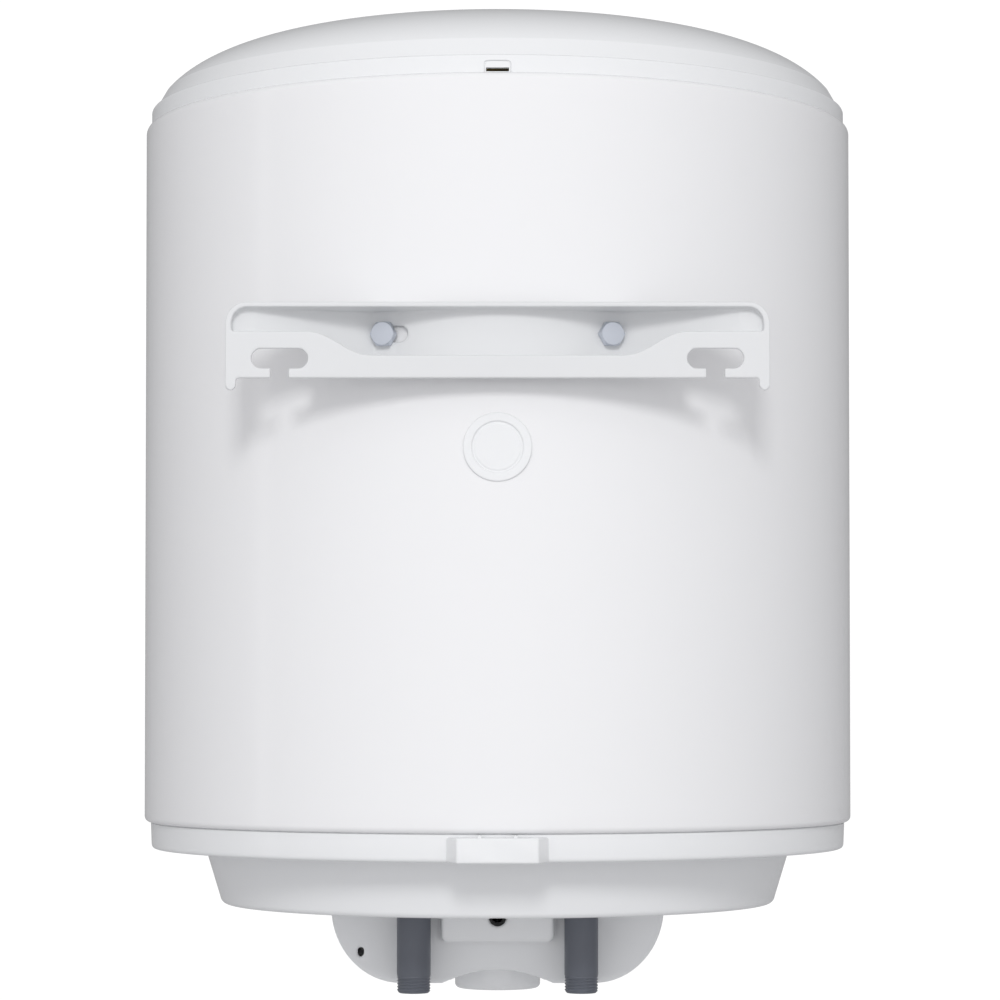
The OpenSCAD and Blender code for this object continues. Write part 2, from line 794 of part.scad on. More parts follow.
module at_clamp_screws() {
    for (side = [-1, 1]) translate([side * 12, 54, 0]) children();
}

module cover_screws() {
    color(steel) on_axis() at_cover_screws() {
        post(screw_head_r, screw_seat_z - screw_head_h, screw_seat_z);
        post(screw_r, screw_seat_z - e, bowl_z + boss_h - 4);
    }
}

module cable_grommet() {
    color([0.08, 0.08, 0.08]) on_axis() translate([0, nose_back_y, cable_z]) along_y() difference() {
        union() {
            translate([0, 0, -cap_t]) cylinder(r = cable_hole_r, h = cap_t);
            translate([0, 0, -cap_t - 1.5]) cylinder(r = cable_hole_r + 0.8, h = 1.5);
            cylinder(r = cable_hole_r + 0.6, h = 0.8);
        }
        translate([0, 0, -10]) cylinder(r = cable_r, h = 20);
    }
}

module cable_clamp() {
    low = cable_z + cable_r - 0.4;
    color("white") on_axis() difference() {
        translate([-16, 50, low]) cube([32, 8, cover_top_z - low]);
        at_clamp_screws() post(1.6, low - 1, cover_top_z + 1);
    }
}

module clamp_screws() {
    color(steel) on_axis() at_clamp_screws() post(1.45, bowl_z - nose_h + cap_t + 2, cover_top_z - 0.1);
}

module indicator_lamp() {
    color([0.2, 0.2, 0.2]) on_axis() translate([0, lamp_y, 0])
        post(lamp_body_r, cover_z + lamp_seat, cover_z + 17);
}

module lamp_lens() {
    color([0.85, 0.12, 0.08]) on_axis() translate([0, lamp_y, 0])
        post(lamp_r, cover_z - 1, cover_z + lamp_seat);
}

// ---- knob and button ----

module d_shaft(r, low, high) {
    difference() {
        post(r, low, high);
        translate([-r, r * 0.55, low - 1]) cube([2 * r, r, min(high - low, 14) + 1]);
    }
}

module thermostat_knob() {
    edge = 3;
    color(white_plastic) on_axis() difference() {
        lathe(concat([[0, knob_top_z], [0, knob_z]], arc(knob_r - edge, knob_z + edge, edge, -90, 0),
                     [[knob_r, knob_top_z]]));
        d_shaft(spindle_r, spindle_end_z, knob_top_z + 1);
        translate([-0.6, -knob_r - 1, knob_z - 1]) cube([1.2, 12, 2]);
    }
}

module knob_spindle() {
    color(steel) on_axis() d_shaft(spindle_r, spindle_end_z, spindle_top_z);
}

module reset_button() {
    color([0.8, 0.1, 0.08]) on_axis() translate([button_x, button_y, 0])
        post(button_r, stat_z - button_proud, stat_z - button_proud + button_l);
}

// ---- wall bracket ----

// Wall-side face of the bracket's web, for x from 0 outwards: an arc, a flat pad that lies on the
// casing under the bolt, a straight run and a flat end
function web_face() = let (
        reach = casing_r + bracket_t * cos(bolt_a),
        pad = [reach * sin(bolt_a), tank_y + reach * cos(bolt_a)],
        dir = [cos(bolt_a), -sin(bolt_a)],
        near = pad - pad_half * dir,
        far = pad + pad_half * dir,
        rise = -near[1] - web_mid_depth,
        r = (near[0] * near[0] + rise * rise) / (2 * rise),
        span = asin(near[0] / r))
    concat([for (i = [0 : 11]) let (a = span * i / 12) [r * sin(a), -web_mid_depth - r * (1 - cos(a))]],
           [near, far, [web_end_x, -web_end_depth], [bracket_w / 2, -web_end_depth]]);

function ledge() = concat(
    [for (i = [0 : 8]) let (t = i / 8)
        [ledge_mid_x + (ledge_end_x - ledge_mid_x) * t,
         ledge_mid_z + (ledge_end_z - ledge_mid_z) * (1 - cos(180 * t)) / 2]],
    [[bracket_w / 2 + 1, ledge_end_z]]);

module pressed_outline(inset, drop) {
    low = [for (p = ledge()) p - [0, drop]];
    w = bracket_w - 2 * inset;
    top = bracket_top - (inset > 0 ? bracket_t : 0);
    c = corner_r - inset;
    intersection() {
        polygon(concat(mirrored(low), low, [[bracket_w, bracket_top + 1], [-bracket_w, bracket_top + 1]]));
        union() {
            translate([-w / 2, -20]) square([w, top - c + 20]);
            translate([-w / 2 + c, -20]) square([w - 2 * c, top + 20]);
            for (side = [-1, 1]) translate([side * (w / 2 - c), top - c]) circle(r = c);
        }
    }
}

module plate_outline() {
    top = ledge();
    half = bracket_w / 2;
    difference() {
        union() {
            intersection() {
                polygon(concat(mirrored(top), top, [[half + 1, bracket_low], [-half - 1, bracket_low]]));
                translate([-half, bracket_low]) square([bracket_w, bracket_top]);
            }
            for (side = [-1, 1]) translate([side * (half - leg_w / 2), 0]) {
                translate([-leg_w / 2, leg_low + leg_w / 2]) square([leg_w, -leg_low]);
                translate([0, leg_low + leg_w / 2]) circle(r = leg_w / 2);
            }
        }
        for (side = [-1, 1]) translate([side * slot_spacing / 2, 0]) {
            straight = slot_l - slot_w;
            translate([-straight / 2, -slot_w / 2]) square([straight, slot_w]);
            for (end = [-1, 1]) translate([end * straight / 2, 0]) circle(r = slot_w / 2);
            translate([-entry_w / 2, bracket_low - 1]) square([entry_w, -bracket_low + 1]);
        }
    }
}

module wall_bracket() {
    face = web_face();
    back = [for (p = face) p - [0, bracket_t]];
    color(white_paint) difference() {
        union() {
            upright(bracket_t) plate_outline();
            intersection() {
                translate([0, 0, -30]) linear_extrude(80)
                    polygon(concat(mirrored(face), face, reversed(back), reversed(mirrored(back))));
                upright(60) pressed_outline(0, bracket_t);
            }
            intersection() {
                translate([0, 0, -30]) linear_extrude(80)
                    polygon(concat([[-bracket_w / 2, 0], [bracket_w / 2, 0]], reversed(back),
                                   reversed(mirrored(back))));
                upright(60) difference() {
                    pressed_outline(0, bracket_t);
                    pressed_outline(side_rim, 0);
                }
            }
        }
        for (side = [-1, 1]) at_bolt(side) along_y() cylinder(r = bolt_hole_r, h = casing_r + 30);
        at_bolt(1) translate([-bolt_slide, 0, -bolt_hole_r])
            cube([bolt_slide, casing_r + 30, 2 * bolt_hole_r]);
        at_bolt(1) translate([-bolt_slide, 0, 0]) along_y() cylinder(r = bolt_hole_r, h = casing_r + 30);
    }
}

module bracket_bolts() {
    seat_r = casing_r + bracket_t * cos(bolt_a);
    color(steel) for (side = [-1, 1]) at_bolt(side) translate([0, seat_r, 0]) {
        along_y() hexagon(bolt_af, bolt_head_h);
        translate([0, -bolt_l, 0]) along_y() cylinder(r = bolt_r, h = bolt_l + e);
    }
}

// ---- what is drawn ----

outer_casing();
top_cap();
bottom_cap();
wall_bracket();
bracket_bolts();
bracket_bosses();
foam_plug();
insulation_foam();
tank_shell();
tank_top_dome();
tank_bottom_dome();
cold_inlet_pipe();
hot_outlet_pipe();
hot_draw_tube();
cold_diffuser();
flange_collar();
flange_studs();
flange_gasket();
flange_plate();
flange_nuts();
heating_element();
element_terminals();
thermostat_pocket();
thermostat_rod();
thermostat_body();
anode_rod();
anode_nut();
terminal_block();
terminal_screws();
line_wire();
neutral_wire();
earth_wire();
element_leads();
earth_screw();
control_cover();
cover_screws();
cable_grommet();
cable_clamp();
clamp_screws();
indicator_lamp();
lamp_lens();
lamp_wires();
thermostat_knob();
knob_spindle();
reset_button();
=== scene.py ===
"""Visible pieces, finishes and studio of a wall-hung tank water heater.

Lengths in the modelling code are millimetres in the row's frame: the origin lies midway between the
bracket slots on the wall plane, +Z is up and +Y points into the wall.
"""

import json
import math

import bmesh
import bpy
from mathutils import Matrix, Vector


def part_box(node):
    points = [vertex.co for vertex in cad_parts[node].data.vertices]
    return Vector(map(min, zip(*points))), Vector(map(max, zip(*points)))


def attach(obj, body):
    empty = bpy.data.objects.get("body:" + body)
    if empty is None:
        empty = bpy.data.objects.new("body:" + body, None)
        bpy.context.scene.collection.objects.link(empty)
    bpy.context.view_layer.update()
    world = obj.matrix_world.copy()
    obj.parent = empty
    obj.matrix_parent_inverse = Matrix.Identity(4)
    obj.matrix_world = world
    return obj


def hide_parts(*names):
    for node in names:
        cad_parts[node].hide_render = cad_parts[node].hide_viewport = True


bl_info = {
    "name": "Tank Water Heater",
    "version": (1, 0, 0),
    "blender": (4, 5, 0),
    "location": "3D View > Sidebar > Heater",
    "description": "Builds the visible pieces, finishes and studio of a wall-hung tank water heater",
    "category": "Object",
}

MM = 0.001
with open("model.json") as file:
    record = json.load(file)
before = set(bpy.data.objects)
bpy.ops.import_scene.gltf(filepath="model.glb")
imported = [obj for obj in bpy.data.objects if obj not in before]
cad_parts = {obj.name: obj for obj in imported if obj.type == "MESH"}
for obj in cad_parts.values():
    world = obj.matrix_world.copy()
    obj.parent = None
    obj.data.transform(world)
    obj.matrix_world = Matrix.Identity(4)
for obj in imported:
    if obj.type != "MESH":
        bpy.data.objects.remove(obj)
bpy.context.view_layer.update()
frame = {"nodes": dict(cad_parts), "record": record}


def node_box(node):
    """The lowest and the highest corner of a CAD node, in millimetres."""
    low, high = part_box(node)
    return low / MM, high / MM


CASING_LOW, CASING_HIGH = node_box("outer_casing")
CASING_R = (CASING_HIGH.x - CASING_LOW.x) / 2
AXIS_Y = (CASING_HIGH.y + CASING_LOW.y) / 2
LIP_Z = CASING_LOW.z
JOINT_Z = CASING_HIGH.z
CROWN_Z = node_box("top_cap")[1].z
BOWL_Z = node_box("bottom_cap")[0].z
KNOB_LOW, KNOB_HIGH = node_box("thermostat_knob")
KNOB_R = (KNOB_HIGH.x - KNOB_LOW.x) / 2
AXIS = Matrix.Translation((0, AXIS_Y, 0))
TO_WALL = Matrix.Rotation(-math.pi / 2, 4, "X")  # turns a piece made along +Z to lie along +Y


# ---- sizes and colours that a user would change ----


class HeaterShape(bpy.types.PropertyGroup):
    """Sizes of the visible details, in millimetres unless a unit is given."""

    round_steps: bpy.props.IntProperty(
        name="Steps round the tank",
        description="Facets round each large turned piece",
        default=288,
        min=48,
        max=512,
    )
    lip_radius: bpy.props.FloatProperty(
        name="Lip radius",
        description="Radius of the casing's rolled ends in mm",
        default=3.5,
        min=1.0,
        max=6.0,
    )
    edge_radius: bpy.props.FloatProperty(
        name="Moulded edge",
        description="Radius on the edges of the plastic caps in mm",
        default=0.8,
        min=0.1,
        max=2.0,
    )
    bracket_grain: bpy.props.FloatProperty(
        name="Bracket detail",
        description="Cell size that rounds the pressed bracket in mm",
        default=0.7,
        min=0.4,
        max=2.0,
    )
    cover_grain: bpy.props.FloatProperty(
        name="Cover detail",
        description="Cell size that rounds the control cover in mm",
        default=1.1,
        min=0.6,
        max=2.5,
    )
    thread_pitch: bpy.props.FloatProperty(
        name="Thread pitch",
        description="Pitch of the pipe threads in mm, 14 to the inch",
        default=1.814,
        min=1.0,
        max=3.0,
    )
    thread_depth: bpy.props.FloatProperty(
        name="Thread depth", description="Depth of the pipe threads in mm", default=0.6, min=0.3, max=1.4
    )
    dial_marks: bpy.props.IntProperty(
        name="Dial marks", description="Raised marks round the knob", default=11, min=0, max=31
    )


class HeaterFinish(bpy.types.PropertyGroup):
    """Colours and gloss of the main finishes."""

    paint_hex: bpy.props.StringProperty(
        name="Casing paint", description="sRGB hex colour of the powder coat", default="#F3F3F4"
    )
    plastic_hex: bpy.props.StringProperty(
        name="White plastic", description="sRGB hex colour of the moulded caps", default="#F1F2F3"
    )
    bracket_hex: bpy.props.StringProperty(
        name="Bracket paint", description="sRGB hex colour of the bracket's paint", default="#E5E6E7"
    )
    pipe_hex: bpy.props.StringProperty(
        name="Pipe coating", description="sRGB hex colour of the coated pipes", default="#62666F"
    )
    paint_roughness: bpy.props.FloatProperty(
        name="Paint roughness", description="Roughness of the powder coat", default=0.14, min=0.0, max=1.0
    )
    plastic_roughness: bpy.props.FloatProperty(
        name="Plastic roughness", description="Roughness of the moulded caps", default=0.2, min=0.0, max=1.0
    )


class StudioSettings(bpy.types.PropertyGroup):
    """Light, floor and camera of the studio."""

    key_power: bpy.props.FloatProperty(
        name="Key light",
        description="Power of the softbox in front of the heater's back",
        default=108.0,
        min=0.0,
        max=500.0,
    )
    side_power: bpy.props.FloatProperty(
        name="Side strip",
        description="Power of the upright strip light at the side",
        default=1.6,
        min=0.0,
        max=200.0,
    )
    backdrop: bpy.props.FloatProperty(
        name="Backdrop",
        description="Brightness of the paper behind the heater",
        default=1.05,
        min=0.0,
        max=4.0,
    )
    near_sky: bpy.props.FloatProperty(
        name="Near room light",
        description="Brightness of the room on the wall side",
        default=1.26,
        min=0.0,
        max=4.0,
    )
    far_sky: bpy.props.FloatProperty(
        name="Far room light",
        description="Brightness of the room on the other side",
        default=0.27,
        min=0.0,
        max=4.0,
    )
    flags: bpy.props.FloatProperty(
        name="Side flags",
        description="Share of the room's light that the dark flags at the sides take",
        default=0.4,
        min=0.0,
        max=1.0,
    )
    camera_distance: bpy.props.FloatProperty(
        name="Camera distance",
        description="From the tank's axis to the camera",
        default=2.1,
        min=0.8,
        max=10.0,
        unit="LENGTH",
    )
    camera_height: bpy.props.FloatProperty(
        name="Camera height",
        description="Height of the camera above the slots",
        default=-0.1879,
        min=-2.0,
        max=2.0,
        unit="LENGTH",
    )
    floor_height: bpy.props.FloatProperty(
        name="Floor height",
        description="Height of the studio floor",
        default=-1.2,
        min=-3.0,
        max=-0.5,
        unit="LENGTH",
    )


# ---- mesh tools ----


def piece_from(name, points, faces, place=Matrix.Identity(4)):
    """An object from points in millimetres, moved by place, which is in millimetres too."""
    mesh = bpy.data.meshes.new(name)
    mesh.from_pydata([(place @ Vector(p)) * MM for p in points], [], faces)
    work = bmesh.new()
    work.from_mesh(mesh)
    bmesh.ops.remove_doubles(work, verts=work.verts, dist=1e-7)
    bmesh.ops.recalc_face_normals(work, faces=work.faces)
    work.to_mesh(mesh)
    work.free()
    piece = bpy.data.objects.new(name, mesh)
    bpy.context.scene.collection.objects.link(piece)
    return piece


def arc(cx, cy, r, start, end, steps=8):
    """Points on an arc, with its angles in degrees."""
    angles = [math.radians(start + (end - start) * i / steps) for i in range(steps + 1)]
    return [(cx + r * math.cos(a), cy + r * math.sin(a)) for a in angles]


def softened(outline, radius=0.0, steps=5):
    """The closed outline with its corners rounded. A point may carry its own radius as a third number."""
    result = []
    count = len(outline)
    for i, point in enumerate(outline):
        here = Vector(point[:2])
        before = Vector(outline[i - 1][:2]) - here
        after = Vector(outline[(i + 1) % count][:2]) - here
        size = point[2] if len(point) > 2 else radius
        if size <= 0 or before.length < 1e-6 or after.length < 1e-6 or here.x < 1e-6:
            result.append(tuple(here))
            continue
        turn = before.angle(after)
        if turn > math.radians(170):
            result.append(tuple(here))
            continue
        reach = min(size / math.tan(turn / 2), 0.45 * before.length, 0.45 * after.length)
        a = here + before.normalized() * reach
        b = here + after.normalized() * reach
        for k in range(steps + 1):
            t = k / steps
            result.append(tuple(a * (1 - t) ** 2 + here * 2 * t * (1 - t) + b * t * t))
    return result


def turned(name, outline, steps, place=AXIS):
    """A round piece: a closed outline of radius and height, turned about the local Z axis."""
    points, rings, faces = [], [], []
    for r, z in outline:
        start = len(points)
        if r < 1e-4:
            points.append((0, 0, z))
            rings.append([start] * steps)
        else:
            points += [(x, y, z) for x, y in arc(0, 0, r, 0, 360, steps)[:-1]]
            rings.append(list(range(start, start + steps)))
    for i, near in enumerate(rings):
        far = rings[(i + 1) % len(rings)]
        for k in range(steps):
            n = (k + 1) % steps
            corners = list(dict.fromkeys([near[k], near[n], far[n], far[k]]))
            if len(corners) > 2:
                faces.append(corners)
    return piece_from(name, points, faces, place)


def prism(name, outline, low, high, place=Matrix.Identity(4)):
    """A closed X-Y outline, from low to high along Z."""
    count = len(outline)
    points = [(x, y, z) for z in (low, high) for x, y in outline]
    faces = [list(range(count))[::-1], list(range(count, 2 * count))]
    faces += [[k, (k + 1) % count, (k + 1) % count + count, k + count] for k in range(count)]
    return piece_from(name, points, faces, place)


def block(name, low, high):
    """A box between two corners, always cut or rounded before it is shown."""
    outline = [(low[0], low[1]), (high[0], low[1]), (high[0], high[1]), (low[0], high[1])]
    return prism(name, outline, low[2], high[2])


def apply_modifiers(piece):
    """Fixes the piece's modifiers into its mesh."""
    bpy.context.view_layer.update()
    finished = bpy.data.meshes.new_from_object(piece.evaluated_get(bpy.context.evaluated_depsgraph_get()))
    finished.name = piece.name
    piece.modifiers.clear()
    piece.data = finished
    return piece


def combine(piece, other, operation):
    """Joins, cuts or keeps the common part with another piece, which is used up."""
    change = piece.modifiers.new("combine", "BOOLEAN")
    change.operation = operation
    change.solver = "EXACT"
    change.object = other
    apply_modifiers(piece)
    bpy.data.objects.remove(other)
    return piece


def rounded(piece, width, steps=3, angle=40):
    """Rounds the edges that are sharper than the angle in degrees."""
    bevel = piece.modifiers.new("rounded", "BEVEL")
    bevel.width = width * MM
    bevel.segments = steps
    bevel.limit_method = "ANGLE"
    bevel.angle_limit = math.radians(angle)
    bevel.miter_outer = "MITER_ARC"
    return apply_modifiers(piece)


def pressed_copy(node, name, cell, passes):
    """A copy of a CAD node's shape whose edges are rounded, as a press or a mould leaves them."""
    mesh = frame["nodes"][node].data.copy()
    work = bmesh.new()
    work.from_mesh(mesh)
    bmesh.ops.remove_doubles(work, verts=work.verts, dist=1e-6)
    work.to_mesh(mesh)
    work.free()
    mesh.materials.clear()
    mesh.name = name
    piece = bpy.data.objects.new(name, mesh)
    bpy.context.scene.collection.objects.link(piece)
    remesh = piece.modifiers.new("cells", "REMESH")
    remesh.mode = "VOXEL"
    remesh.voxel_size = cell * MM * 1.0
    relax = piece.modifiers.new("relax", "SMOOTH")
    relax.factor = 0.5
    relax.iterations = passes
    return apply_modifiers(piece)


def joined(name, pieces):
    """One piece from several."""
    mesh = bpy.data.meshes.new(name)
    work = bmesh.new()
    for piece in pieces:
        work.from_mesh(piece.data)
        bpy.data.objects.remove(piece)
    work.to_mesh(mesh)
    work.free()
    result = bpy.data.objects.new(name, mesh)
    bpy.context.scene.collection.objects.link(result)
    return result


def settle(piece, body, slot, *nodes, angle=32, finish=None):
    """Shades the piece, gives it its finish, and lets it ride on its body in place of its CAD nodes."""
    piece.data.shade_smooth()
    piece.data.set_sharp_from_angle(angle=math.radians(angle))
    piece.data.materials.clear()
    piece.data.materials.append((finish or FINISHES[slot])())
    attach(piece, body)
    if nodes:
        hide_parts(*nodes)
    return piece


# ---- finishes ----


def srgb(hex_colour):
    """A colour such as #F3F3F4 as the linear RGBA that shaders take."""
    values = [int(hex_colour[i : i + 2], 16) / 255 for i in (1, 3, 5)]
    return [v / 12.92 if v <= 0.04045 else ((v + 0.055) / 1.055) ** 2.4 for v in values] + [1.0]


def per_metre(size):
    """The texture scale that gives features of this size in millimetres."""
    return 1 / (size * MM)


def add_node(tree, kind, inputs=None, **settings):
    """Adds a node, with its settings, and its inputs as values or as links from other sockets."""
    node = tree.nodes.new(kind)
    for key, value in settings.items():
        setattr(node, key, value)
    for key, value in (inputs or {}).items():
        if isinstance(value, bpy.types.NodeSocket):
            tree.links.new(value, node.inputs[key])
        else:
            node.inputs[key].default_value = value
    return node


def new_finish(name):
    """An empty material and its tree, or the one made before, with an empty tree."""
    known = bpy.data.materials.get(name)
    if known:
        return known, None
    material = bpy.data.materials.new(name)
    material.use_nodes = True
    material.node_tree.nodes.clear()
    return material, material.node_tree


def textured_finish(name, hex_colour, grain, depth, roughness, spread, tint=0.03, **settings):
    """A finish whose roughness, relief and shade vary with a grain of a real size in millimetres."""
    material, tree = new_finish(name)
    if tree is None:
        return material
    place = add_node(tree, "ShaderNodeTexCoord").outputs["Object"]
    fine = add_node(
        tree, "ShaderNodeTexNoise", {
            "Vector": place, "Scale": per_metre(grain), "Detail": 3.0, "Roughness": 0.55
        }
    )
    broad = add_node(
        tree, "ShaderNodeTexNoise", {
            "Vector": place, "Scale": per_metre(grain * 60), "Detail": 2.0, "Roughness": 0.5
        }
    )
    rough = add_node(
        tree,
        "ShaderNodeMapRange",
        {
            "Value": broad.outputs["Fac"],
            "From Min": 0.3,
            "From Max": 0.7,
            "To Min": roughness - spread,
            "To Max": roughness + spread,
        },
    )
    colour = srgb(hex_colour)
    ramp = add_node(tree, "ShaderNodeValToRGB", {"Fac": broad.outputs["Fac"]})
    ramp.color_ramp.elements[0].position = 0.3
    ramp.color_ramp.elements[0].color = [c * (1 - tint) for c in colour[:3]] + [1.0]
    ramp.color_ramp.elements[1].position = 0.7
    ramp.color_ramp.elements[1].color = colour
    relief = add_node(
        tree, "ShaderNodeBump", {"Height": fine.outputs["Fac"], "Strength": 0.35, "Distance": depth * MM}
    )
    shader = add_node(
        tree,
        "ShaderNodeBsdfPrincipled",
        {
            "Base Color": ramp.outputs["Color"],
            "Roughness": rough.outputs["Result"],
            "Normal": relief.outputs["Normal"],
            **settings,
        },
    )
    add_node(tree, "ShaderNodeOutputMaterial", {"Surface": shader.outputs["BSDF"]})
    return material


def powder_coated_steel():
    # Powder coat: an even white with a slight orange peel that softens each highlight
    look = bpy.context.scene.heater_finish
    return textured_finish(
        "powder_coated_steel", look.paint_hex, 1.6, 0.012, look.paint_roughness, 0.008, 0.003
    )


def painted_bracket_steel():
    # Thicker enamel on pressed steel: a shade darker and duller than the casing
    look = bpy.context.scene.heater_finish
    return textured_finish("painted_bracket_steel", look.bracket_hex, 1.2, 0.015, 0.46, 0.01, 0.004)


def moulded_abs():
    # Moulded ABS: smoother and glossier than the paint, with a faint unevenness of the tool
    look = bpy.context.scene.heater_finish
    return textured_finish(
        "moulded_abs", look.plastic_hex, 2.4, 0.012, look.plastic_roughness, 0.008, 0.003, IOR=1.53
    )


def coated_pipe_steel():
    # Dark baked coating on steel pipe: slate grey, with a dull satin sheen and a rolled grain
    look = bpy.context.scene.heater_finish
    return textured_finish(
        "coated_pipe_steel", look.pipe_hex, 0.5, 0.03, 0.42, 0.06, 0.1, **{"Specular IOR Level": 0.6}
    )


def zinc_plated_steel():
    # Bright zinc plate: pale blue metal with cloudy patches where the bath left it duller
    return textured_finish("zinc_plated_steel", "#D6DBE4", 0.4, 0.02, 0.34, 0.06, 0.1, Metallic=1.0)


def machined_steel():
    # Machined mild steel: neutral grey metal with fine tool marks
    return textured_finish("machined_steel", "#B4B4B6", 0.3, 0.03, 0.38, 0.08, 0.12, Metallic=1.0)


def rigid_foam():
    # Foamed polyurethane: straw coloured, matt and full of small cells
    return textured_finish("rigid_foam", "#E9DCA6", 1.5, 0.5, 0.92, 0.04, 0.12)


def fired_enamel():
    # Glass enamel fired on steel: deep blue and glossy with a slight ripple
    return textured_finish("fired_enamel", "#22365F", 6.0, 0.08, 0.14, 0.05, 0.15, IOR=1.52)


def natural_nylon():
    # Natural nylon: milky, satin, a little light passes into it
    return textured_finish("natural_nylon", "#EDEBE2", 1.0, 0.02, 0.45, 0.05, 0.04, IOR=1.53)


def moulded_rubber():
    # Moulded black rubber: matt with a fine sheen at its edges
    return textured_finish("moulded_rubber", "#161617", 0.6, 0.04, 0.68, 0.08, 0.2, **{"Sheen Weight": 0.15})


def drawn_copper():
    # Drawn copper tube, annealed when it was bent: warm metal with cloudy oxide
    return textured_finish("drawn_copper", "#C88258", 0.6, 0.02, 0.34, 0.1, 0.25, Metallic=1.0)


def drawn_brass():
    # Drawn brass rod: yellow metal, lightly dulled
    return textured_finish("drawn_brass", "#C9AE6B", 0.5, 0.02, 0.32, 0.08, 0.15, Metallic=1.0)


def moulded_phenolic():
    # Moulded phenolic: cream, dense and satin with small specks of filler
    return textured_finish("moulded_phenolic", "#DAD3BC", 0.8, 0.03, 0.5, 0.06, 0.08)


def extruded_magnesium():
    # Extruded magnesium: dull silver metal with lengthwise clouding
    return textured_finish("extruded_magnesium", "#C4C6C8", 1.0, 0.05, 0.5, 0.1, 0.15, Metallic=1.0)


def brown_pvc():
    # Brown wire insulation: smooth extruded PVC with a soft gloss
    return textured_finish("brown_pvc", "#6A3A20", 0.8, 0.02, 0.4, 0.05, 0.06)


def blue_pvc():
    # Blue wire insulation: smooth extruded PVC with a soft gloss
    return textured_finish("blue_pvc", "#2457B4", 0.8, 0.02, 0.4, 0.05, 0.06)


def green_pvc():
    # Green wire insulation: smooth extruded PVC with a soft gloss
    return textured_finish("green_pvc", "#5E9E2C", 0.8, 0.02, 0.4, 0.05, 0.06)


def white_silicone():
    # White silicone wire insulation: matt and slightly waxy
    return textured_finish("white_silicone", "#E6E6E2", 0.8, 0.02, 0.55, 0.05, 0.04)


def dark_abs():
    # Dark moulded ABS of the lamp's body: satin charcoal
    return textured_finish("dark_abs", "#2A2A2B", 1.0, 0.02, 0.45, 0.05, 0.1)


def clear_red_acrylic():
    # Red acrylic lens: clear, deep and glossy, with the light held inside it
    return textured_finish(
        "clear_red_acrylic",
        "#C91B12",
        3.0,
        0.005,
        0.08,
        0.02,
        0.05,
        **{"Transmission Weight": 0.55, "IOR": 1.49},
    )


def red_abs():
    # Red moulded ABS of the reset button: glossy
    return textured_finish("red_abs", "#C01E17", 1.0, 0.01, 0.25, 0.04, 0.06)


FINISHES = {
    "white_paint": powder_coated_steel,
    "white_plastic": moulded_abs,
    "zinc_steel": zinc_plated_steel,
    "plain_steel": machined_steel,
    "pu_foam": rigid_foam,
    "tank_enamel": fired_enamel,
    "pipe_steel": coated_pipe_steel,
    "natural_plastic": natural_nylon,
    "black_rubber": moulded_rubber,
    "copper_sheath": drawn_copper,
    "brass_probe": drawn_brass,
    "thermostat_case": moulded_phenolic,
    "magnesium": extruded_magnesium,
    "brown_wire": brown_pvc,
    "blue_wire": blue_pvc,
    "green_wire": green_pvc,
    "white_wire": white_silicone,
    "dark_plastic": dark_abs,
    "red_lens": clear_red_acrylic,
    "red_plastic": red_abs,
}


# ---- pieces ----


class HEATER_OT_casing(bpy.types.Operator):
    """Build the rolled steel casing"""

    bl_idname = "heater.casing"
    bl_label = "Casing"

    def execute(self, context):
        shape = context.scene.heater_shape
        lip = shape.lip_radius
        sheet = 1.0
        centre = CASING_R - lip
        opening = centre - sheet
        rows = 40
        low, high = LIP_Z + lip, JOINT_Z - lip
        wall = [low + (high - low) * i / rows for i in range(1, rows)]
        outline = [(opening, LIP_Z)]
        outline += arc(centre, low, lip, -90, 0)
        outline += [(CASING_R, z) for z in wall]
        outline += arc(centre, high, lip, 0, 90)
        outline += [(opening, JOINT_Z), (opening, JOINT_Z - sheet)]
        outline += arc(centre, high, lip - sheet, 90, 0)
        outline += [(CASING_R - sheet, z) for z in reversed(wall)]
        outline += arc(centre, low, lip - sheet, 0, -90)
        outline += [(opening, LIP_Z + sheet)]
        casing = turned("casing", outline, shape.round_steps)
        low, high = node_box("foam_plug")
        stem = Matrix.Translation((0, high.y - 25, (low.z + high.z) / 2)) @ TO_WALL
        combine(casing, turned("stem_hole", [(0, 0), (14, 0), (14, 40), (0, 40)], 64, stem), "DIFFERENCE")
        settle(casing, "heater", "white_paint", "outer_casing")
        return {"FINISHED"}


